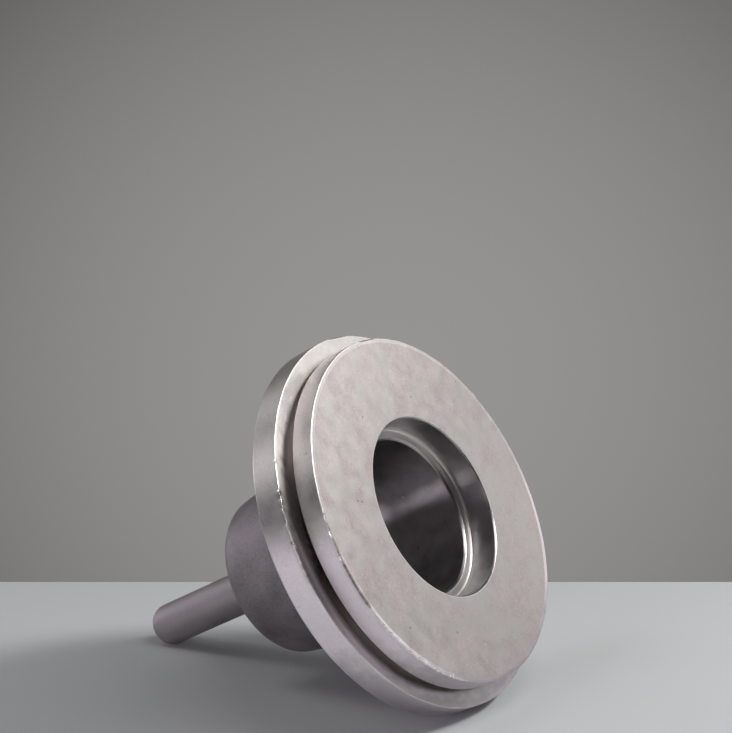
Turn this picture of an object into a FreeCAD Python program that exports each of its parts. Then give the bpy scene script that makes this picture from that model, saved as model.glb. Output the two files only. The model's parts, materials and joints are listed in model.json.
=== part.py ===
import FreeCAD, Part
import math
import os

# A steel forging for a piston rod, made in one piece and round about one axis. A turned
# collar stands in front of a wider flange, with an undercut groove between the two. A
# tapered hub goes back from the flange and ends in a plain rod. A stepped blind bore
# runs into the hub through the middle of the collar's front face.
# Lengths are in millimetres and angles in degrees. Depths are measured along the axis,
# from the collar's front face towards the rod.

# The collar, a turned spigot that centres the piece
COLLAR_DIAMETER = 110.0
COLLAR_LENGTH = 7.3
COLLAR_CHAMFER = 0.4

# The groove behind the collar, as wide as the tool that cut it
GROOVE_WIDTH = 2.2
GROOVE_DEPTH = 3.0

# The flange, with a sharp front edge and a wider chamfer at its back
FLANGE_DIAMETER = 120.0
FLANGE_THICKNESS = 9.8
FLANGE_FRONT_CHAMFER = 0.4
FLANGE_BACK_CHAMFER = 1.0

# The forged hub, which narrows towards the rod by its draft
HUB_BASE_DIAMETER = 65.4
HUB_LENGTH = 48.2
HUB_DRAFT = 8.0
HUB_BASE_FILLET = 4.0
HUB_END_ROUND = 5.0

# The rod on the end of the hub
ROD_DIAMETER = 14.0
ROD_LENGTH = 56.0
ROD_ROOT_FILLET = 2.5
ROD_END_ROUND = 5.5

# The wide mouth of the bore, which ends at a ledge
COUNTERBORE_DIAMETER = 57.0
COUNTERBORE_DEPTH = 9.5
COUNTERBORE_CHAMFER = 0.4

# The deep bore, whose depth is also measured from the front face
BORE_DIAMETER = 50.0
BORE_DEPTH = 42.0
BORE_CHAMFER = 0.6
BORE_FLOOR_ROUND = 8.0

# The cuts at the ends of a straight run together take up at most this share of it
CUT_SHARE_OF_RUN = 0.9

# How a corner of the section is finished
SHARP, CHAMFERED, ROUNDED = "sharp", "chamfered", "rounded"

# Corners that can reach furthest out when the piece lies on its side
OUTER_CORNERS = ("collar_front", "flange_front", "flange_back", "hub_end", "rod_end")


def section_corners():
    """Corners of half the section, in order: the depth, the radius, the finish and its size."""
    groove_radius = COLLAR_DIAMETER / 2 - GROOVE_DEPTH
    flange_front = COLLAR_LENGTH + GROOVE_WIDTH
    flange_back = flange_front + FLANGE_THICKNESS
    hub_end = flange_back + HUB_LENGTH
    hub_end_radius = HUB_BASE_DIAMETER / 2 - HUB_LENGTH * math.tan(math.radians(HUB_DRAFT))
    rod_end = hub_end + ROD_LENGTH
    return {
        "bore_floor_centre": (BORE_DEPTH, 0, SHARP, 0),
        "bore_floor": (BORE_DEPTH, BORE_DIAMETER / 2, ROUNDED, BORE_FLOOR_ROUND),
        "bore_edge": (COUNTERBORE_DEPTH, BORE_DIAMETER / 2, CHAMFERED, BORE_CHAMFER),
        "ledge": (COUNTERBORE_DEPTH, COUNTERBORE_DIAMETER / 2, SHARP, 0),
        "mouth": (0, COUNTERBORE_DIAMETER / 2, CHAMFERED, COUNTERBORE_CHAMFER),
        "collar_front": (0, COLLAR_DIAMETER / 2, CHAMFERED, COLLAR_CHAMFER),
        "collar_back": (COLLAR_LENGTH, COLLAR_DIAMETER / 2, SHARP, 0),
        "groove_front": (COLLAR_LENGTH, groove_radius, SHARP, 0),
        "groove_back": (flange_front, groove_radius, SHARP, 0),
        "flange_front": (flange_front, FLANGE_DIAMETER / 2, CHAMFERED, FLANGE_FRONT_CHAMFER),
        "flange_back": (flange_back, FLANGE_DIAMETER / 2, CHAMFERED, FLANGE_BACK_CHAMFER),
        "hub_base": (flange_back, HUB_BASE_DIAMETER / 2, ROUNDED, HUB_BASE_FILLET),
        "hub_end": (hub_end, hub_end_radius, ROUNDED, HUB_END_ROUND),
        "rod_root": (hub_end, ROD_DIAMETER / 2, ROUNDED, ROD_ROOT_FILLET),
        "rod_end": (rod_end, ROD_DIAMETER / 2, ROUNDED, ROD_END_ROUND),
        "rod_end_centre": (rod_end, 0, SHARP, 0),
    }


def section_point(corner):
    """A corner's point in the section, with the axis along Z and the front face at its top."""
    depth, radius = corner[:2]
    return FreeCAD.Vector(radius, 0, -depth)


def room_on_run(corner, neighbour):
    """How much of the run between two corners the first one's cut may take."""
    length = (section_point(neighbour) - section_point(corner)).Length
    cuts = 1 if neighbour[2] == SHARP else 2
    return CUT_SHARE_OF_RUN * length / cuts


def finished_corner(before, corner, after):
    """A corner as finished: its start, its edges, its end, and its bulges, as (centre, radius)."""
    point, finish, size = section_point(corner), corner[2], corner[3]
    if finish == SHARP or size == 0:
        return point, [], point, [(point, 0)]
    to_before, to_after = section_point(before) - point, section_point(after) - point
    half_angle = to_before.getAngle(to_after) / 2
    wanted_trim = size / math.tan(half_angle) if finish == ROUNDED else size
    trim = min(wanted_trim, room_on_run(corner, before), room_on_run(corner, after))
    to_before.normalize()
    to_after.normalize()
    start, end = point + to_before * trim, point + to_after * trim
    if finish == CHAMFERED:
        return start, [Part.LineSegment(start, end).toShape()], end, [(start, 0), (end, 0)]
    radius = trim * math.tan(half_angle)
    inward = (to_before + to_after).normalize()
    centre = point + inward * (radius / math.sin(half_angle))
    return start, [Part.Arc(start, centre - inward * radius, end).toShape()], end, [(centre, radius)]


def finished_section():
    """Every corner's name with the corner as finished, in order."""
    corners = section_corners()
    own = list(corners.values())
    before, after = own[-1:] + own[:-1], own[1:] + own[:1]
    return dict(zip(corners, map(finished_corner, before, own, after)))


def section_wire(section):
    """The closed outline of half the section: its finished corners joined by straight runs."""
    edges = []
    corners = list(section.values())
    for this_corner, next_corner in zip(corners, corners[1:] + corners[:1]):
        edges += this_corner[1]
        edges.append(Part.LineSegment(this_corner[2], next_corner[0]).toShape())
    return Part.Wire(edges)


def reach(section, along_axis, across_axis):
    """How far the piece reaches in a direction, from the middle of its front face."""
    bulges = [bulge for name in OUTER_CORNERS for bulge in section[name][3]]
    return max(centre.z * along_axis + centre.x * across_axis + radius for centre, radius in bulges)


def angle_on(front_bulge, rear_bulge):
    """The angle of the axis to a floor that touches two of the bulges from below."""
    (front, front_radius), (rear, rear_radius) = front_bulge, rear_bulge
    back, down = front.z - rear.z, front.x - rear.x
    return math.atan2(down, back) + math.asin((front_radius - rear_radius) / math.hypot(back, down))


def lying_angle(section):
    """The angle of the axis to the floor, when the flange and the rod's end lie on it."""
    rears = section["hub_end"][3] + section["rod_end"][3]
    return min(max(angle_on(front, rear) for front in section["flange_back"][3]) for rear in rears)


def lay_down(forging, section):
    """Lays the piece on the floor plane, front face up and towards +X, centred on Z."""
    angle = lying_angle(section)
    level, upright = math.cos(angle), math.sin(angle)
    front = reach(section, level, upright)
    rear = reach(section, -level, upright)
    below = reach(section, -upright, level)
    forging.rotate(FreeCAD.Vector(0, 0, 0), FreeCAD.Vector(0, 1, 0), 90 - math.degrees(angle))
    forging.translate(FreeCAD.Vector((rear - front) / 2, 0, below))
    return forging


def make_forging():
    """The whole piece: its section turned about the axis, then laid on the floor."""
    section = finished_section()
    half = Part.Face(section_wire(section))
    forging = half.revolve(FreeCAD.Vector(0, 0, 0), FreeCAD.Vector(0, 0, 1), 360)
    return lay_down(forging, section)


os.makedirs("parts", exist_ok=True)
make_forging().exportStep("parts/piston_rod_forging.step")
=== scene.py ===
import json
import math

import bpy
import numpy as np
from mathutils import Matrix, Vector


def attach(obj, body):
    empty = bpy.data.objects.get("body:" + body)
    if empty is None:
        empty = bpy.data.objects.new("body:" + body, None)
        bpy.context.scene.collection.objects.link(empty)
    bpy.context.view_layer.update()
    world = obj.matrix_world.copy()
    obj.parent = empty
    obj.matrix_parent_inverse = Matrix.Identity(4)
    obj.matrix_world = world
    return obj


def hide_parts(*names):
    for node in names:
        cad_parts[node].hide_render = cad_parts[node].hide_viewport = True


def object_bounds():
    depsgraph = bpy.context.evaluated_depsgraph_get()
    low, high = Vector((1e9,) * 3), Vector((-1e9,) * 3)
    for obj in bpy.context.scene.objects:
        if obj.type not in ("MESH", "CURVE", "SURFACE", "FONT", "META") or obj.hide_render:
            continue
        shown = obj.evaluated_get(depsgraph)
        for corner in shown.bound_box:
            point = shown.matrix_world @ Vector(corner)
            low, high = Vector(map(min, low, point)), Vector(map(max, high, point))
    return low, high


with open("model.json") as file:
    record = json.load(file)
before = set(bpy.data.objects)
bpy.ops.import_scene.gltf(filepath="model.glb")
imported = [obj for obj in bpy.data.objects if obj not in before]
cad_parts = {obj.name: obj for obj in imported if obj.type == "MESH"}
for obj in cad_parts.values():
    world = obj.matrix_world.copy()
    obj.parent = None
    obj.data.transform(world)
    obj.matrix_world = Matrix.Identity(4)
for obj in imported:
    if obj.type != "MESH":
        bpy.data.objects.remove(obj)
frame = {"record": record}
cad_low, cad_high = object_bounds()


# The piece is one steel forging, round about one axis. It lies on the flange's back edge and the
# rod's tip, with the bored face turned up. Its axis and the middle of its front face are found here,
# since every depth below is measured from that face towards the rod, in millimetres.
MM = 0.001
mounts = {mount["name"]: mount for mount in frame["record"]["mounts"]}
bore_middle = Vector(mounts["deep_bore"]["pos_m"])
axis = Vector(mounts["front_face"]["axis"])
face_middle = bore_middle + axis * (Vector(mounts["front_face"]["pos_m"]) - bore_middle).dot(axis)
uphill = (Vector((0, 0, 1)) - axis * axis.z).normalized()
sideways = axis.cross(uphill)

# Places round the axis are turned angles: 0 is the near side, 90 the top and 180 the far side
SPOKES = 768
spoke_angles = np.arange(SPOKES) * 2 * math.pi / SPOKES


# The blank is drop forged and shot blasted: a hub that narrows by the die's draft, with a plain rod
# on its end. Both keep the dull, slightly uneven skin that the dies and the shot left.
HUB_BACK = 19.3
HUB_BASE_RADIUS = 32.7
HUB_LENGTH = 48.2
HUB_DRAFT = math.radians(8)
HUB_BASE_FILLET = 4.0
HUB_END_ROUND = 5.0
ROD_RADIUS = mounts["rod"]["dims"]["r_mm"]
ROD_LENGTH = 56.0
ROD_ROOT_FILLET = 2.5
ROD_TIP_ROUND = 5.5
SKIN_UNEVENNESS = 0.05
SKIN_WAVES = 24
WAVES_ROUND = (1, 14)
WAVES_ALONG = (0.02, 0.35)
TRUE_RINGS = 3
rng = np.random.default_rng(41)

FORGED, FACED, TURNED, BORED = range(4)


def between(start, end, count):
    """Points spaced evenly between two places of the outline, without the two themselves."""
    return [np.array(start) + (np.array(end) - start) * k / (count + 1) for k in range(1, count + 1)]


def rounded(before, corner, after, radius, steps):
    """Points of the round that takes the place of a sharp corner of the outline."""
    corner = np.array(corner, float)
    back, on = np.array(before) - corner, np.array(after) - corner
    back, on = back / np.linalg.norm(back), on / np.linalg.norm(on)
    half = math.acos(back @ on) / 2
    middle = corner + (back + on) / np.linalg.norm(back + on) * radius / math.sin(half)
    first = corner + back * radius / math.tan(half) - middle
    last = corner + on * radius / math.tan(half) - middle
    turn = math.pi - 2 * half
    shares = [k / steps for k in range(steps + 1)]
    return [middle + (math.sin((1 - s) * turn) * first + math.sin(s * turn) * last) / math.sin(turn)
            for s in shares]


def skin_waves(depths):
    """The low swells and hollows of the forged skin over the spokes, one row for each depth."""
    heights = np.zeros((len(depths), SPOKES))
    for _ in range(SKIN_WAVES):
        round_about, lengthwise = rng.integers(*WAVES_ROUND), rng.uniform(*WAVES_ALONG)
        phase = round_about * spoke_angles[None] + lengthwise * np.array(depths)[:, None]
        heights += rng.uniform(0.3, 1) * np.cos(phase + rng.uniform(0, 2 * math.pi)) / round_about ** 0.5
    return heights / np.abs(heights).max()


def plain_ring(depth, radius, finish, bare=0.0, grime=0.0):
    """One ring of the outline: depth, radius, finish, how bare and bright it is, and how darkened,
    mostly as painted shade.
    """
    spread = np.ones(SPOKES)
    return [depth * spread, radius * spread, finish, bare * spread, grime * spread]


hub_end = HUB_BACK + HUB_LENGTH
hub_end_radius = HUB_BASE_RADIUS - HUB_LENGTH * math.tan(HUB_DRAFT)
rod_tip = hub_end + ROD_LENGTH
back_face, hub_base = (HUB_BACK, 59), (HUB_BACK, HUB_BASE_RADIUS)
hub_rim, rod_root = (hub_end, hub_end_radius), (hub_end, ROD_RADIUS)
rod_edge, rod_middle = (rod_tip, ROD_RADIUS), (rod_tip, 0.0)

base_fillet = rounded(back_face, hub_base, hub_rim, HUB_BASE_FILLET, steps=5)
end_round = rounded(hub_base, hub_rim, rod_root, HUB_END_ROUND, steps=7)
root_fillet = rounded(hub_rim, rod_root, rod_edge, ROD_ROOT_FILLET, steps=4)
tip_round = rounded(rod_root, rod_edge, rod_middle, ROD_TIP_ROUND, steps=7)
blank = (base_fillet + between(base_fillet[-1], end_round[0], 6) + end_round
         + between(end_round[-1], root_fillet[0], 2) + root_fillet
         + between(root_fillet[-1], tip_round[0], 6) + tip_round)
swells = SKIN_UNEVENNESS * (skin_waves([depth for depth, _ in blank]) - 1) / 2
blank_rings = [plain_ring(depth, radius, FORGED, bare=float(depth > hub_end + 1))
               for depth, radius in blank]

# The first rings of the fillet meet the turned back face and stay true
for ring, swell in zip(blank_rings[TRUE_RINGS:], swells[TRUE_RINGS:]):
    ring[1] = ring[1] + swell


def node(tree, kind, **settings):
    """A new node. A setting that is one of its sockets is given a value or linked to another's."""
    made = tree.nodes.new(kind)
    for name, value in settings.items():
        socket = made.inputs.get(name.replace("_", " "))
        if socket is None:
            setattr(made, name, value)
        elif isinstance(value, bpy.types.NodeSocket):
            tree.links.new(value, socket)
        else:
            socket.default_value = value
    return made


def measured(tree, name):
    """A measure that each point of the piece carries, such as its way along the outline."""
    return node(tree, "ShaderNodeAttribute", attribute_name=name).outputs["Fac"]


def scaled(tree, value, factor, offset=0.0):
    """A value times a factor plus an offset."""
    scaled_node = node(tree, "ShaderNodeMath", operation="MULTIPLY_ADD")
    tree.links.new(value, scaled_node.inputs[0])
    scaled_node.inputs[1].default_value = factor
    scaled_node.inputs[2].default_value = offset
    return scaled_node.outputs[0]


def combined(tree, operation, first, second):
    """Two values added, multiplied or compared."""
    made = node(tree, "ShaderNodeMath", operation=operation)
    for socket, value in zip(made.inputs, (first, second)):
        if isinstance(value, bpy.types.NodeSocket):
            tree.links.new(value, socket)
        else:
            socket.default_value = value
    return made.outputs[0]


def mixed(tree, *parts):
    """Several values added up, each times its own share. Each part is (value, share)."""
    total = None
    for value, share in parts:
        shared = scaled(tree, value, share)
        total = shared if total is None else combined(tree, "ADD", total, shared)
    return total


def grain(tree, size_mm, detail=3.0, roughness=0.55):
    """Cloudy noise over the piece, with patches of about the given size."""
    place = node(tree, "ShaderNodeTexCoord").outputs["Object"]
    made = node(tree, "ShaderNodeTexNoise", Vector=place, Scale=1 / (size_mm * MM), Detail=detail)
    made.inputs["Roughness"].default_value = roughness
    return made.outputs["Fac"]


def tool_lines(tree, spacing_mm, detail=2.0):
    """Noise that changes only along the outline, as the lines that a tool leaves round the axis."""
    way = scaled(tree, measured(tree, "way"), 1 / spacing_mm)
    made = node(tree, "ShaderNodeTexNoise", noise_dimensions="1D", W=way, Scale=1.0, Detail=detail)
    return made.outputs["Fac"]


def stepped(tree, value, low, high, start=0.0, end=1.0):
    """A value spread from low to high onto start to end, and held there outside."""
    made = node(tree, "ShaderNodeMapRange", Value=value, From_Min=low, From_Max=high)
    made.inputs["To Min"].default_value = start
    made.inputs["To Max"].default_value = end
    return made.outputs["Result"]


def blended(tree, share, first, second):
    """Two colours mixed by a share from 0 to 1."""
    made = node(tree, "ShaderNodeMix", data_type="RGBA")
    tree.links.new(share, made.inputs["Factor"])
    sockets = [s for s in made.inputs if s.type == "RGBA"]
    for socket, colour in zip(sockets, (first, second)):
        if isinstance(colour, bpy.types.NodeSocket):
            tree.links.new(colour, socket)
        else:
            socket.default_value = (*colour, 1)
    return [s for s in made.outputs if s.type == "RGBA"][0]


def raised(tree, height, height_mm, under=None):
    """The surface's direction once a height is pressed into it, over an earlier bump if given."""
    made = node(tree, "ShaderNodeBump", Height=height, Distance=height_mm * MM, Strength=1.0)
    if under is not None:
        tree.links.new(under, made.inputs["Normal"])
    return made.outputs["Normal"]


def steel(name):
    """A material with only its shader: bare steel, a metal all through."""
    material = bpy.data.materials.new(name)
    material.use_nodes = True
    shader = material.node_tree.nodes["Principled BSDF"]
    shader.inputs["Metallic"].default_value = 1.0
    return material, material.node_tree, shader


SKIN_DARK = (0.208, 0.187, 0.193)
SKIN_LIGHT = (0.360, 0.326, 0.337)
ROD_SKIN = (0.440, 0.407, 0.416)
ROD_SKIN_SHARE = 0.55
SKIN_DULLNESS = (0.54, 0.64)
SKIN_PIT_DEPTH = 0.006
SKIN_DIMPLE_DEPTH = 0.03


def forged_skin():
    """The blasted forging skin: dull grey brown steel with a fine pitted grain and faint blotches.
    On the rod, where the bare measure is 1, it is lighter."""
    material, tree, shader = steel("forged_skin")
    blotches = stepped(tree, grain(tree, 9.0, detail=4.0), 0.3, 0.7)
    speckle = stepped(tree, grain(tree, 0.7, detail=2.0), 0.35, 0.65)
    tone = mixed(tree, (blotches, 0.65), (speckle, 0.35))
    skin_colour = blended(tree, tone, SKIN_DARK, SKIN_LIGHT)
    on_rod = scaled(tree, measured(tree, "bare"), ROD_SKIN_SHARE)
    tree.links.new(blended(tree, on_rod, skin_colour, ROD_SKIN), shader.inputs["Base Color"])
    tree.links.new(stepped(tree, blotches, 0, 1, *SKIN_DULLNESS), shader.inputs["Roughness"])
    pitted = raised(tree, speckle, SKIN_PIT_DEPTH)
    dimpled = raised(tree, grain(tree, 3.0, detail=2.0), SKIN_DIMPLE_DEPTH, pitted)
    tree.links.new(dimpled, shader.inputs["Normal"])
    return material


# The flange is turned on the lathe: its back face, its rim and the shoulder in front are cut bright.
# The tool threw up a ragged burr on the rim's front edge, with a few beads of torn metal on it.
FLANGE_FRONT = 9.5
FLANGE_RADIUS = 60.0
FLANGE_BACK_CHAMFER = 1.0
EDGE_BREAK = 0.11
EDGE_ROUND = 0.15
EDGE_LEAN = 0.7
RIM_BURR = 0.16
RIM_BEADS = ((18.9, 0.50), (16.1, 0.42), (13.8, 0.40), (9.6, 0.55), (3.5, 0.50), (28.0, 0.15))
BEAD_WIDTH = math.radians(0.6)
BEAD_SHINE = 2.4
CHAMFER_SHINE = 0.7

# Stretches round the axis, each from one turned angle to another with the width of its fade
# Painted shade along the rim's front edge, round the near side
RIM_BURR_ARC = (24, -40, 12)
RIM_SHADE_ARC = (20, -9, 7)
# Painted shade on the shoulder and in the groove, round the near side and further down
SHOULDER_SHADE_ARC, SHOULDER_SHADING = (19, -16, 22), 0.56
LOW_SHADE_ARC, LOW_SHOULDER_SHADING = (-8, -76, 34), 0.22


def ragged(lowest_wave, highest_wave, waves=60):
    """A ragged height over the spokes, from 0 to 1, made of waves that close round the axis."""
    height = np.zeros(SPOKES)
    for _ in range(waves):
        wave = rng.integers(lowest_wave, highest_wave)
        height += np.cos(wave * spoke_angles + rng.uniform(0, 2 * math.pi))
    height -= height.min()
    return height / height.max()


def patch(first_deg, last_deg, fade_deg=4.0):
    """1 between two angles and 0 elsewhere, fading over a few degrees."""
    middle, half = math.radians((first_deg + last_deg) / 2), math.radians(abs(last_deg - first_deg) / 2)
    off = np.abs((spoke_angles - middle + math.pi) % (2 * math.pi) - math.pi)
    return np.clip((half - off) / math.radians(fade_deg) + 0.5, 0, 1)


def bead(angle_deg):
    """A bead of metal on an edge at an angle."""
    off = (spoke_angles - math.radians(angle_deg) + math.pi) % (2 * math.pi) - math.pi
    return np.exp(-(off / BEAD_WIDTH) ** 2)


def edge_rings(outline, lift, bare, grime, shaded_front=0.0):
    """Rings of an edge. Each point of the outline is (depth, radius, share). By its share, lift, in
    millimetres over the spokes, raises it forwards and outwards, and it takes the edge's shine and
    its painted shade. The last amount darkens the face in front, up to the edge, as painted shade."""
    rings = []
    for depth, radius, share in outline:
        ring = plain_ring(depth, radius, TURNED)
        ring[0] = ring[0] - EDGE_LEAN * share * lift
        ring[1] = ring[1] + EDGE_LEAN * share * lift
        ring[3] = share * bare
        on_front = depth <= outline[0][0] + 0.1
        ring[4] = share * grime + on_front * (1 - share) * shaded_front
        rings.append(ring)
    return rings


rim_lift = RIM_BURR * (ragged(60, 380) - 0.55) * (0.1 + patch(*RIM_BURR_ARC))
rim_bare = np.zeros(SPOKES)
# Painted shade along the rim's front edge, kept off the beads
rim_shade = (0.5 + 0.5 * ragged(40, 300)) * patch(*RIM_SHADE_ARC)
for angle_deg, height in RIM_BEADS:
    rim_lift = rim_lift + height * bead(angle_deg)
    rim_bare = rim_bare + BEAD_SHINE * bead(angle_deg)
    rim_shade = rim_shade * (1 - bead(angle_deg))

flange_front_edge = [
    (FLANGE_FRONT, FLANGE_RADIUS - 1.0, 0.0),
    (FLANGE_FRONT, FLANGE_RADIUS - 0.5, 0.3),
    (FLANGE_FRONT + 0.01, FLANGE_RADIUS - EDGE_BREAK, 0.8),
    (FLANGE_FRONT + 0.3 * EDGE_BREAK, FLANGE_RADIUS - 0.3 * EDGE_BREAK, 1.0),
    (FLANGE_FRONT + EDGE_BREAK, FLANGE_RADIUS - 0.01, 0.8),
    (FLANGE_FRONT + 0.6, FLANGE_RADIUS, 0.2),
]
chamfer_top = (HUB_BACK - FLANGE_BACK_CHAMFER, FLANGE_RADIUS)
chamfer_foot = (HUB_BACK, FLANGE_RADIUS - FLANGE_BACK_CHAMFER)
rim_start = (FLANGE_FRONT + 1.6, FLANGE_RADIUS)
flange_outline = (
    [rim_start] + between(rim_start, chamfer_top, 2)
    + [(HUB_BACK - FLANGE_BACK_CHAMFER - 0.3, FLANGE_RADIUS)]
    + rounded(rim_start, chamfer_top, chamfer_foot, EDGE_ROUND, steps=2)
    + rounded(chamfer_top, chamfer_foot, (HUB_BACK, 50), EDGE_ROUND, steps=2)
    + [(HUB_BACK, FLANGE_RADIUS - FLANGE_BACK_CHAMFER - 0.4), (HUB_BACK, 48), (HUB_BACK, 38.5)]
)
# Painted shade on the shoulder in front of the flange
shoulder_shaded, low_shaded = patch(*SHOULDER_SHADE_ARC), patch(*LOW_SHADE_ARC)
shoulder_shade = SHOULDER_SHADING * shoulder_shaded + LOW_SHOULDER_SHADING * low_shaded
flange_rings = edge_rings(flange_front_edge, rim_lift, rim_bare, rim_shade, shoulder_shade)
for depth, radius in flange_outline:
    on_chamfer = HUB_BACK - FLANGE_BACK_CHAMFER - 0.1 < depth < HUB_BACK - FLANGE_BACK_CHAMFER + 0.2
    flange_rings.append(plain_ring(depth, radius, TURNED, bare=CHAMFER_SHINE * on_chamfer))

TURNED_DARK = (0.640, 0.596, 0.590)
TURNED_LIGHT = (0.820, 0.768, 0.756)
TURNED_STAIN = (0.730, 0.690, 0.650)
BARE_EDGE = (0.90, 0.88, 0.87)
# Near black, for the pits and for painted shade
SHADE_AND_PIT_DARK = (0.105, 0.090, 0.082)
# Painted reflection: low down, the turned steel is painted a lighter lavender that stands in for the lit
# table it mirrors, with a darker band near the bottom
PAINTED_REFLECTION_DARK = (0.880, 0.765, 0.825)
PAINTED_REFLECTION_LIGHT = (1.000, 0.910, 0.975)
LOW_BAND_DARK = (0.200, 0.180, 0.215)

# Heights above the table, in metres, between which the painted reflection sets in, and its darker low
# band grows and thins out again
PAINTED_REFLECTION_EDGE = (0.064, 0.056)
LOW_BAND_TOP = (0.033, 0.020)
LOW_BAND_FOOT = (-0.004, 0.007)
PAINTED_REFLECTION_WAVER = 0.016
PAINTED_REFLECTION_SHARE = 0.75
LOW_BAND_SHARE = 0.6
PAINTED_REFLECTION_DULLNESS = 0.05

# How much each kind of unevenness counts in the tone of turned steel, and how strong its marks are
CLOUD_SHARE, MOTTLE_SHARE, SPECKLE_SHARE, LINE_SHARE = 0.18, 0.22, 0.40, 0.20
STAIN_SHARE, SPECK_SHARE, PIT_SHARE = 0.6, 0.45, 0.5
LINE_SPACING = 0.55
LINE_DEPTH, MOTTLE_DEPTH, SPECKLE_DEPTH = 0.006, 0.005, 0.005
PIT_DEPTH_IN_LINES = 3.0
CLOUD_DULLNESS = 0.06

# A bare edge is glossier than the steel round it, and smoother by this share of its marks
BARE_GLOSS = 0.12
BARE_SMOOTHNESS = 0.8


def painted_floor_reflection(tree):
    """How much painted reflection lies on a place, none above and all over below, and where its darker
    low band lies.
    """
    place = node(tree, "ShaderNodeTexCoord").outputs["Object"]
    height = node(tree, "ShaderNodeSeparateXYZ", Vector=place).outputs["Z"]
    waver = scaled(tree, grain(tree, 5.0, detail=4.0), PAINTED_REFLECTION_WAVER, -PAINTED_REFLECTION_WAVER / 2)
    edge = combined(tree, "ADD", height, waver)
    below_top, above_foot = stepped(tree, edge, *LOW_BAND_TOP), stepped(tree, edge, *LOW_BAND_FOOT)
    return stepped(tree, edge, *PAINTED_REFLECTION_EDGE), combined(tree, "MULTIPLY", below_top, above_foot)


def dots(tree, apart_mm, radius_mm):
    """1 in small round dots scattered over the piece, and 0 between them."""
    place = node(tree, "ShaderNodeTexCoord").outputs["Object"]
    cells = node(tree, "ShaderNodeTexVoronoi", Vector=place, Scale=1 / (apart_mm * MM))
    size = radius_mm / apart_mm
    return stepped(tree, cells.outputs["Distance"], 0.6 * size, size, 1.0, 0.0)


def under_painted_reflection(tree, colour, dull, tone, darkening):
    """A colour and a dullness with the painted reflection of the table over them, but for the darkened
    places.
    """
    clear_of_darkening = stepped(tree, darkening, 0.04, 0.22, PAINTED_REFLECTION_SHARE, 0.0)
    reflected, low_band = painted_floor_reflection(tree)
    reflection_share = combined(tree, "MULTIPLY", reflected, clear_of_darkening)
    reflection_colour = blended(tree, tone, PAINTED_REFLECTION_DARK, PAINTED_REFLECTION_LIGHT)
    reflection_colour = blended(tree, scaled(tree, low_band, LOW_BAND_SHARE), reflection_colour, LOW_BAND_DARK)
    dull = combined(tree, "ADD", dull, scaled(tree, reflection_share, PAINTED_REFLECTION_DULLNESS))
    return blended(tree, reflection_share, colour, reflection_colour), dull


def turned_steel(name, dark, light, stain, dullness, with_painted_reflection):
    """Steel as the turning tool left it: satin, with faint lines round the axis and small stains."""
    material, tree, shader = steel(name)
    clouds = stepped(tree, grain(tree, 5.0, detail=5.0, roughness=0.62), 0.32, 0.68)
    mottle = stepped(tree, grain(tree, 1.6, detail=3.0, roughness=0.6), 0.3, 0.7)
    speckle = stepped(tree, grain(tree, 0.45, detail=2.0), 0.35, 0.65)
    lines = tool_lines(tree, LINE_SPACING)
    tone = mixed(tree, (clouds, CLOUD_SHARE), (mottle, MOTTLE_SHARE), (speckle, SPECKLE_SHARE),
                 (lines, LINE_SHARE))
    colour = blended(tree, stepped(tree, tone, 0.2, 0.8), dark, light)

    stains = stepped(tree, grain(tree, 9.0, detail=6.0, roughness=0.65), 0.46, 0.54)
    specks = dots(tree, apart_mm=3.0, radius_mm=0.28)
    pits = dots(tree, apart_mm=6.0, radius_mm=0.5)
    colour = blended(tree, scaled(tree, stains, STAIN_SHARE), colour, stain)
    colour = blended(tree, scaled(tree, specks, SPECK_SHARE), colour, BARE_EDGE)
    colour = blended(tree, scaled(tree, pits, PIT_SHARE), colour, SHADE_AND_PIT_DARK)
    dull = scaled(tree, clouds, CLOUD_DULLNESS, dullness)
    darkening = measured(tree, "grime")
    # Painted reflection of the lit table, low down, where asked
    if with_painted_reflection:
        colour, dull = under_painted_reflection(tree, colour, dull, tone, darkening)

    # Painted shade: the darkened places go towards near black
    darkening = combined(tree, "MULTIPLY", darkening, scaled(tree, mottle, 0.3, 0.85))
    colour = blended(tree, combined(tree, "MINIMUM", darkening, 1.0), colour, SHADE_AND_PIT_DARK)
    bare = stepped(tree, measured(tree, "bare"), 0.1, 0.9)
    tree.links.new(blended(tree, bare, colour, BARE_EDGE), shader.inputs["Base Color"])
    dull = combined(tree, "SUBTRACT", dull, scaled(tree, bare, BARE_GLOSS))
    tree.links.new(dull, shader.inputs["Roughness"])

    fading = scaled(tree, bare, -BARE_SMOOTHNESS, 1.0)
    pitted = combined(tree, "SUBTRACT", lines, scaled(tree, pits, PIT_DEPTH_IN_LINES))
    normal = raised(tree, pitted, LINE_DEPTH)
    normal = raised(tree, combined(tree, "MULTIPLY", mottle, fading), MOTTLE_DEPTH, normal)
    normal = raised(tree, combined(tree, "MULTIPLY", speckle, fading), SPECKLE_DEPTH, normal)
    tree.links.new(normal, shader.inputs["Normal"])
    return material


# The turned outside takes the painted reflection of the table low down
rim_steel = turned_steel("rim_steel", TURNED_DARK, TURNED_LIGHT, TURNED_STAIN, 0.31, with_painted_reflection=True)


# The collar is turned too, and the undercut behind it is plunged in with a narrow grooving tool that
# leaves small round corners. The collar's front edge keeps the turning burr as a thin bright lip, torn
# and nicked along its lower side.
COLLAR_RADIUS = mounts["collar"]["dims"]["r_mm"]
GROOVE_FRONT = 7.3
GROOVE_RADIUS = 52.0
GROOVE_CORNER = 0.35
LIP_HEIGHT = 0.24
LIP_SHINE, LIP_GLINTS = 0.15, 3.4
LIP_SPARKS = (7.9, 3.0, -4.8)
SPARK_SHINE = 1.5
NICKED_ARC = (-23, -66, 6)
NICK_DEPTH = 0.30
NICK_RARITY = 0.62
TORN_ARC = (9.5, -21, 2)
TEAR_DEPTH = 0.10
TEAR_SHADE = 0.6
WORN_BREAK = 0.55
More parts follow.
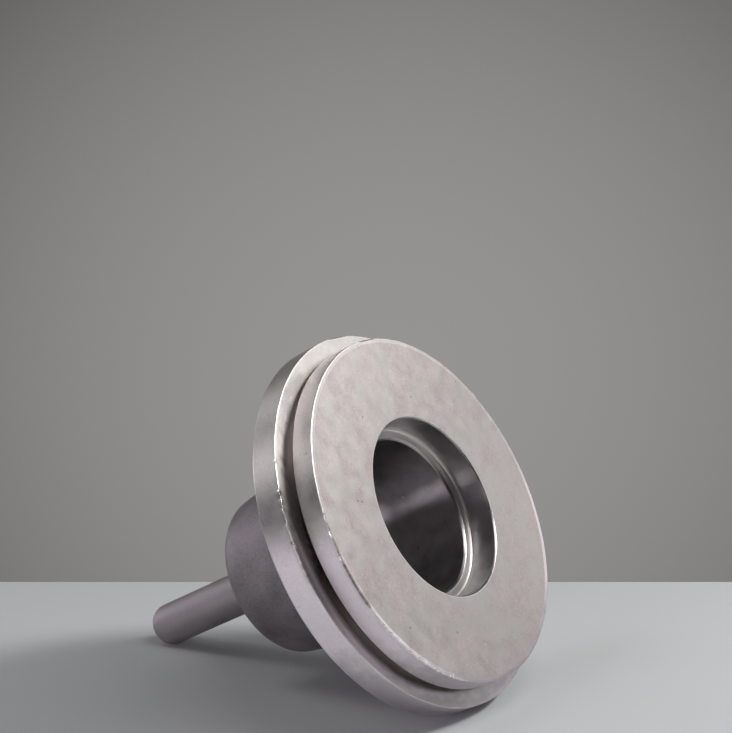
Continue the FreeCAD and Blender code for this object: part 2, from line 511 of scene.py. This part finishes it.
# Painted shade in the groove, darker deeper in
GROOVE_SHADE = 0.18
GROOVE_ARC_SHADE = 0.06
GROOVE_LOW_SHADE = 0.12
BACK_EDGE_ARC = (44, 4, 12)
BACK_EDGE_SHINE, BACK_EDGE_DARK = 0.45, 0.7

nicked, torn = patch(*NICKED_ARC), patch(*TORN_ARC)
nicks = NICK_DEPTH * np.clip(ragged(40, 300) - NICK_RARITY, 0, 1) / (1 - NICK_RARITY) * nicked
lip = LIP_HEIGHT * ragged(30, 380) * (0.2 + nicked) - nicks
lip = lip - TEAR_DEPTH * ragged(50, 380) * torn
lip_bare = nicked * (LIP_SHINE + LIP_GLINTS * ragged(90, 380) ** 3)
# Painted shade along the torn part of the lip, kept off the sparks
lip_shade = torn * (TEAR_SHADE + TEAR_SHADE * ragged(60, 380))
for angle_deg in LIP_SPARKS:
    lip_bare = lip_bare + SPARK_SHINE * bead(angle_deg)
    lip_shade = lip_shade * (1 - bead(angle_deg))

collar_front_edge = [
    (0.0, COLLAR_RADIUS - 1.4, 0.0),
    (0.0, COLLAR_RADIUS - 0.7, 0.3),
    (0.01, COLLAR_RADIUS - EDGE_BREAK, 0.9),
    (0.3 * EDGE_BREAK, COLLAR_RADIUS - 0.3 * EDGE_BREAK, 1.0),
    (EDGE_BREAK, COLLAR_RADIUS - 0.01, 0.9),
    (0.6, COLLAR_RADIUS, 0.15),
]
collar_back, groove_front = (GROOVE_FRONT, COLLAR_RADIUS), (GROOVE_FRONT, GROOVE_RADIUS)
groove_back, shoulder_in = (FLANGE_FRONT, GROOVE_RADIUS), (FLANGE_FRONT, FLANGE_RADIUS - 2)
groove_outline = (
    [(1.5, COLLAR_RADIUS), (4.5, COLLAR_RADIUS), (GROOVE_FRONT - 0.4, COLLAR_RADIUS)]
    + rounded((0, COLLAR_RADIUS), collar_back, groove_front, EDGE_ROUND, steps=3)
    + [(GROOVE_FRONT, COLLAR_RADIUS - 0.5)]
    + rounded(collar_back, groove_front, groove_back, GROOVE_CORNER, steps=3)
    + rounded(groove_front, groove_back, shoulder_in, GROOVE_CORNER, steps=3)
    + [(FLANGE_FRONT, GROOVE_RADIUS + 0.8), (FLANGE_FRONT, GROOVE_RADIUS + 2.8),
       (FLANGE_FRONT, GROOVE_RADIUS + 4.2), (FLANGE_FRONT, GROOVE_RADIUS + 5.5)]
)
collar_rings = edge_rings(collar_front_edge, lip, lip_bare, lip_shade)

# Where it is nicked, the edge is also worn back unevenly on the face and on the wall
worn = WORN_BREAK * nicked * ragged(60, 380)
collar_rings[2][1] = collar_rings[2][1] - worn
collar_rings[4][0] = collar_rings[4][0] + worn
for depth, radius in groove_outline:
    ring = plain_ring(depth, radius, TURNED)
    in_groove = depth > GROOVE_FRONT - 0.05
    on_back_edge = depth > GROOVE_FRONT - 0.2 and radius > COLLAR_RADIUS - 0.1
    # Painted shade in the groove: darker deeper in, round the near side and further down
    if in_groove:
        inward = min(max((GROOVE_RADIUS + 6.5 - radius) / 3.0, 0), 1)
        arc_shade = SHOULDER_SHADING + GROOVE_ARC_SHADE * inward
        ring[4] = GROOVE_SHADE * inward + arc_shade * shoulder_shaded + GROOVE_LOW_SHADE * low_shaded
    # On the collar's back edge: some shine, and a ragged dark line from the near side up towards the top
    if on_back_edge:
        ring[3] = BACK_EDGE_SHINE * ragged(12, 90)
        ring[4] = BACK_EDGE_DARK * patch(*BACK_EDGE_ARC) * ragged(12, 90)
    collar_rings.append(ring)


# The mouth, the ledge and the deep bore are bored from the front with a fine feed, so their walls are
# smoother and darker than the outside. Their edges are only just broken, and catch the light.
BORE_RADIUS = mounts["deep_bore"]["dims"]["r_mm"]
MOUTH_RADIUS = mounts["counterbore"]["dims"]["r_mm"]
LEDGE = 9.5
BORE_FLOOR = 42.0
BORE_FLOOR_ROUND = 8.0
BORE_CHAMFER = 0.6
LEDGE_CORNER = 0.6
MOUTH_BREAK = 0.4
BORE_EDGE_ROUND = 0.12
LEDGE_SHINE = 0.6
MOUTH_SHINE = 0.8

floor_middle, floor_edge = (BORE_FLOOR, 0.0), (BORE_FLOOR, BORE_RADIUS)
bore_top, chamfer_out = (LEDGE + BORE_CHAMFER, BORE_RADIUS), (LEDGE, BORE_RADIUS + BORE_CHAMFER)
ledge_corner, mouth_top = (LEDGE, MOUTH_RADIUS), (MOUTH_BREAK, MOUTH_RADIUS)
mouth_out, face_out = (0.0, MOUTH_RADIUS + MOUTH_BREAK), (0.0, COLLAR_RADIUS - 1.4)
floor_round = rounded(floor_middle, floor_edge, bore_top, BORE_FLOOR_ROUND, steps=6)
bore_outline = (
    [(BORE_FLOOR, 6.0), (BORE_FLOOR, 12.0)] + floor_round
    + between(floor_round[-1], bore_top, 3)
    + [(LEDGE + BORE_CHAMFER + 0.5, BORE_RADIUS)]
    + rounded(floor_edge, bore_top, chamfer_out, BORE_EDGE_ROUND, steps=2)
)
ledge_outline = (
    rounded(bore_top, chamfer_out, ledge_corner, BORE_EDGE_ROUND, steps=2)
    + [(LEDGE, BORE_RADIUS + BORE_CHAMFER + 0.35), (LEDGE, MOUTH_RADIUS - 1.3)]
    + rounded(chamfer_out, ledge_corner, mouth_top, LEDGE_CORNER, steps=4)
)
mouth_wall_outline = (
    [(LEDGE - 1.3, MOUTH_RADIUS), (LEDGE / 2, MOUTH_RADIUS), (MOUTH_BREAK + 0.4, MOUTH_RADIUS)]
    + rounded(ledge_corner, mouth_top, mouth_out, BORE_EDGE_ROUND, steps=2)
)
mouth_outline = rounded(mouth_top, mouth_out, face_out, BORE_EDGE_ROUND, steps=2)
bore_rings = [plain_ring(depth, radius, BORED) for depth, radius in bore_outline]
bore_rings += [plain_ring(depth, radius, FACED, LEDGE_SHINE) for depth, radius in ledge_outline]
bore_rings += [plain_ring(depth, radius, BORED) for depth, radius in mouth_wall_outline]
bore_rings += [plain_ring(depth, radius, FACED, MOUTH_SHINE) for depth, radius in mouth_outline]
face_rings = [plain_ring(0.0, radius, FACED) for radius in (MOUTH_RADIUS + 0.9, 33.0, 38.0, 43.0, 48.0)]

BORED_DARK = (0.330, 0.312, 0.322)
BORED_LIGHT = (0.440, 0.416, 0.428)
BORED_DULLNESS = (0.27, 0.33)
BORED_STREAK = 0.75
QUARTER_TURN = 0.25
FACE_DARK = (0.485, 0.425, 0.418)
FACE_LIGHT = (0.635, 0.570, 0.560)
FACE_STAIN = (0.568, 0.550, 0.524)
face_steel = turned_steel("face_steel", FACE_DARK, FACE_LIGHT, FACE_STAIN, 0.36, with_painted_reflection=False)


def bored_steel():
    """The bored walls: smooth steel with fine rings from the tool, which draw each reflection out
    into a band along the bore."""
    material, tree, shader = steel("bored_steel")
    clouds = stepped(tree, grain(tree, 5.0, detail=4.0), 0.3, 0.7)
    tree.links.new(blended(tree, clouds, BORED_DARK, BORED_LIGHT), shader.inputs["Base Color"])
    tree.links.new(stepped(tree, clouds, 0, 1, *BORED_DULLNESS), shader.inputs["Roughness"])
    round_the_bore = node(tree, "ShaderNodeTangent", direction_type="UV_MAP", uv_map="unrolled")
    tree.links.new(round_the_bore.outputs[0], shader.inputs["Tangent"])
    shader.inputs["Anisotropic"].default_value = BORED_STREAK
    shader.inputs["Anisotropic Rotation"].default_value = QUARTER_TURN
    return material


# All the cuts together are one outline, spun about the axis into one closed skin. Its two ends are
# closed at the axis, with a point in the middle of the bore's floor and one on the rod's tip.
rings = bore_rings + face_rings + collar_rings + flange_rings + blank_rings
ring_depths = np.array([ring[0] for ring in rings])
ring_radii = np.array([ring[1] for ring in rings])
ring_bare = np.array([ring[3] for ring in rings])
ring_darkened = np.array([ring[4] for ring in rings])
finishes = [ring[2] for ring in rings]

steps = np.hypot(np.diff(ring_depths.mean(1)), np.diff(ring_radii.mean(1)))
ways = np.concatenate([[0], np.cumsum(steps)]) + ring_radii[0].mean()
last_way = ways[-1] + ring_radii[-1].mean()

outward = (np.cos(spoke_angles)[:, None] * np.array(sideways)
           + np.sin(spoke_angles)[:, None] * np.array(uphill))
skin = (np.array(face_middle) - ring_depths[..., None] * MM * np.array(axis)
        + ring_radii[..., None] * MM * outward[None])
floor_point = np.array(face_middle) - BORE_FLOOR * MM * np.array(axis)
tip_point = np.array(face_middle) - rod_tip * MM * np.array(axis)
points = np.concatenate([skin.reshape(-1, 3), [floor_point, tip_point]])
points = np.clip(points, np.array(cad_low), np.array(cad_high))

ring_count = len(rings)
floor_index, tip_index = ring_count * SPOKES, ring_count * SPOKES + 1
faces, face_finish, face_ways = [], [], []
for i in range(ring_count - 1):
    for j in range(SPOKES):
        k = (j + 1) % SPOKES
        faces.append((i * SPOKES + j, (i + 1) * SPOKES + j, (i + 1) * SPOKES + k, i * SPOKES + k))
        face_finish.append(finishes[i] if finishes[i] != finishes[i + 1] and i else finishes[i + 1])
        face_ways.append((j, (ways[i], ways[i + 1], ways[i + 1], ways[i]), (0, 0, 1, 1)))
last = (ring_count - 1) * SPOKES
for j in range(SPOKES):
    k = (j + 1) % SPOKES
    faces.append((floor_index, j, k))
    face_finish.append(BORED)
    face_ways.append((j, (0.0, ways[0], ways[0]), (0.5, 0, 1)))
    faces.append((tip_index, last + k, last + j))
    face_finish.append(FORGED)
    face_ways.append((j, (last_way, ways[-1], ways[-1]), (0.5, 1, 0)))

mesh = bpy.data.meshes.new("piston_rod_forging_skin")
mesh.from_pydata([tuple(point) for point in points], [], faces)
for finish in (forged_skin(), face_steel, rim_steel, bored_steel()):
    mesh.materials.append(finish)
mesh.polygons.foreach_set("material_index", face_finish)
mesh.polygons.foreach_set("use_smooth", [True] * len(faces))
measures = {
    "way": np.concatenate([np.repeat(ways, SPOKES), [0.0, last_way]]),
    "bare": np.concatenate([ring_bare.ravel(), [0.0, 0.0]]),
    "grime": np.concatenate([ring_darkened.ravel(), [0.0, 0.0]]),
}
for name, amounts in measures.items():
    layer = mesh.attributes.new(name, "FLOAT", "POINT")
    layer.data.foreach_set("value", amounts.astype(np.float32))
unrolled = mesh.uv_layers.new(name="unrolled")
unrolled.data.foreach_set("uv", [value for spoke, heights, sides in face_ways
                                 for height, side in zip(heights, sides)
                                 for value in ((spoke + side) / SPOKES, height / last_way)])
mesh.validate()
mesh.update()
forging = bpy.data.objects.new("forging_skin", mesh)
bpy.context.scene.collection.objects.link(forging)
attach(forging, "root")
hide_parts("piston_rod_forging")


# The table top is a plain pale board. Its far edge runs straight across behind the piece, and the
# piece's shadow falls on it.
CAMERA_PLACE = Vector((302.38, -435.43, 181.17)) * MM
CAMERA_AIM = Vector((-0.54180, 0.82694, -0.15040))
camera_right = CAMERA_AIM.cross(Vector((0, 0, 1))).normalized()
away = Vector((0, 0, 1)).cross(camera_right)
TABLE_EDGE = Vector((-0.0480, 0.0994, 0.0))
TABLE_DEPTH = 1.4
TABLE_HALF_WIDTH = 1.5
TABLE_THICKNESS = 0.03
TABLE_COLOUR = (0.500, 0.514, 0.516)
TABLE_DULLNESS = 0.7
TABLE_GLOSS = 0.25

top_corners = [TABLE_EDGE + camera_right * side * TABLE_HALF_WIDTH - away * depth
               for side, depth in ((-1, TABLE_DEPTH), (1, TABLE_DEPTH), (1, 0), (-1, 0))]
under_corners = [corner - Vector((0, 0, TABLE_THICKNESS)) for corner in top_corners]
board_sides = [(0, 1, 2, 3), (7, 6, 5, 4), (0, 4, 5, 1), (1, 5, 6, 2), (2, 6, 7, 3), (3, 7, 4, 0)]
board = bpy.data.meshes.new("table_top")
board.from_pydata([tuple(corner) for corner in top_corners + under_corners], [], board_sides)
board_finish = bpy.data.materials.new("table_board")
board_finish.use_nodes = True
board_shader = board_finish.node_tree.nodes["Principled BSDF"]
board_shader.inputs["Base Color"].default_value = (*TABLE_COLOUR, 1)
board_shader.inputs["Roughness"].default_value = TABLE_DULLNESS
board_shader.inputs["Specular IOR Level"].default_value = TABLE_GLOSS
board.materials.append(board_finish)
table = bpy.data.objects.new("table_top", board)
bpy.context.scene.collection.objects.link(table)


# The backdrop is a plain grey studio cloth far behind, lightest in the middle. The metal mirrors it
# too, and the rest of the room is nearly dark.
BACKDROP_LIGHT = 0.30
BACKDROP_DARK = 0.105
ROOM_GREY = 0.02
CLOTH_REACH = (0.3, 0.6)
CLOTH_HALF_WIDTH = 0.36
CLOTH_HALF_HEIGHT = 0.33
CLOTH_SHIFT = -0.055
LEAST_AHEAD = 0.05
WARM_GREY = (1.0, 0.985, 0.96)
world = bpy.data.worlds.new("studio")
bpy.context.scene.world = world
world.use_nodes = True
sky = world.node_tree
look = node(sky, "ShaderNodeTexCoord").outputs["Generated"]


def along(direction):
    """How far the ray goes along a direction."""
    made = node(sky, "ShaderNodeVectorMath", operation="DOT_PRODUCT")
    sky.links.new(look, made.inputs[0])
    made.inputs[1].default_value = direction
    return made.outputs["Value"]


camera_up = camera_right.cross(CAMERA_AIM)
ahead = combined(sky, "MAXIMUM", along(CAMERA_AIM), LEAST_AHEAD)
across = combined(sky, "DIVIDE", along(camera_right), ahead)
above = combined(sky, "DIVIDE", along(camera_up), ahead)
side_fall = combined(sky, "POWER", scaled(sky, across, 1 / CLOTH_HALF_WIDTH, CLOTH_SHIFT), 2.0)
rise_fall = combined(sky, "POWER", scaled(sky, above, 1 / CLOTH_HALF_HEIGHT), 2.0)
fall = combined(sky, "MINIMUM", combined(sky, "ADD", side_fall, rise_fall), 1.0)
cloth = stepped(sky, fall, 0.0, 1.0, BACKDROP_LIGHT, BACKDROP_DARK)
rays = node(sky, "ShaderNodeLightPath")
behind_piece = stepped(sky, along(CAMERA_AIM), *CLOTH_REACH)
mirrored = combined(sky, "MAXIMUM", rays.outputs["Is Glossy Ray"], rays.outputs["Is Transmission Ray"])
seen_in_metal = combined(sky, "MULTIPLY", mirrored, behind_piece)
seen = combined(sky, "MAXIMUM", rays.outputs["Is Camera Ray"], seen_in_metal)
unseen = combined(sky, "SUBTRACT", 1.0, seen)
room = combined(sky, "ADD", combined(sky, "MULTIPLY", cloth, seen), scaled(sky, unseen, ROOM_GREY))
glow = sky.nodes["Background"]
glow.inputs["Color"].default_value = (*WARM_GREY, 1)
sky.links.new(room, glow.inputs["Strength"])


# Square soft lamps stand round the piece at one distance. The key is a small one on the right, which
# throws the shadow to the left. A low one in front, on the left, lights the flange's rim, and the weak
# ones fill.
LAMP_DISTANCE = 0.80
LIT_POINT = Vector((0, 0, 0.055))
COOL_LIGHT = (0.95, 0.90, 1.0)
WHITE_LIGHT = (1.0, 1.0, 1.0)

# Each lamp's turn and rise in degrees, its power in watts, its side in metres, and its colour
LAMPS = {
    "right_key": (95, 44, 4.5, 0.12, WHITE_LIGHT),
    "right_side": (60, 30, 0.25, 0.30, WHITE_LIGHT),
    "right_low": (57, 7, 0.21, 0.20, WHITE_LIGHT),
    "right_edge": (92, 7, 0.30, 0.18, WHITE_LIGHT),
    "right_high": (110, 60, 0.8, 0.30, WHITE_LIGHT),
    "overhead": (0, 80, 0.2, 0.40, WHITE_LIGHT),
    "front_high": (150, 62, 0.9, 0.30, WHITE_LIGHT),
    "front_low": (-145, 5, 2.4, 0.30, COOL_LIGHT),
    "left_high": (-95, 56, 0.85, 0.30, WHITE_LIGHT),
    "left_side": (-86, 26, 0.24, 0.35, WHITE_LIGHT),
    "left_back": (-48, 27, 0.14, 0.30, WHITE_LIGHT),
    "left_low": (-65, 5, 0.85, 0.30, COOL_LIGHT),
}


def soft_lamp(name, round_deg, up_deg, watts, side, colour):
    """A square soft lamp aimed at the piece. Its place is turned from straight behind the piece, with
    the camera's right positive, and raised from the table."""
    round_about, rise = math.radians(round_deg), math.radians(up_deg)
    level = away * math.cos(round_about) + camera_right * math.sin(round_about)
    place = LIT_POINT + (level * math.cos(rise) + Vector((0, 0, math.sin(rise)))) * LAMP_DISTANCE
    lamp = bpy.data.lights.new(name, "AREA")
    lamp.shape, lamp.size, lamp.energy, lamp.color = "SQUARE", side, watts, colour
    holder = bpy.data.objects.new(name, lamp)
    bpy.context.scene.collection.objects.link(holder)
    holder.location = place
    holder.rotation_mode = "QUATERNION"
    holder.rotation_quaternion = (LIT_POINT - place).to_track_quat("-Z", "Y")
    holder.visible_camera = False


for lamp_name, lamp_settings in LAMPS.items():
    soft_lamp(lamp_name, *lamp_settings)


# The camera stands a little above the piece, to its right, as the picture was taken.
LENS = 84.25
SENSOR = 36.0
camera = bpy.data.cameras.new("camera")
camera.lens, camera.sensor_width, camera.sensor_fit = LENS, SENSOR, "HORIZONTAL"
stand = bpy.data.objects.new("camera", camera)
bpy.context.scene.collection.objects.link(stand)
stand.location = CAMERA_PLACE
stand.rotation_mode = "QUATERNION"
stand.rotation_quaternion = CAMERA_AIM.to_track_quat("-Z", "Y")
bpy.context.scene.camera = stand
bpy.context.scene.view_settings.view_transform = "Standard"
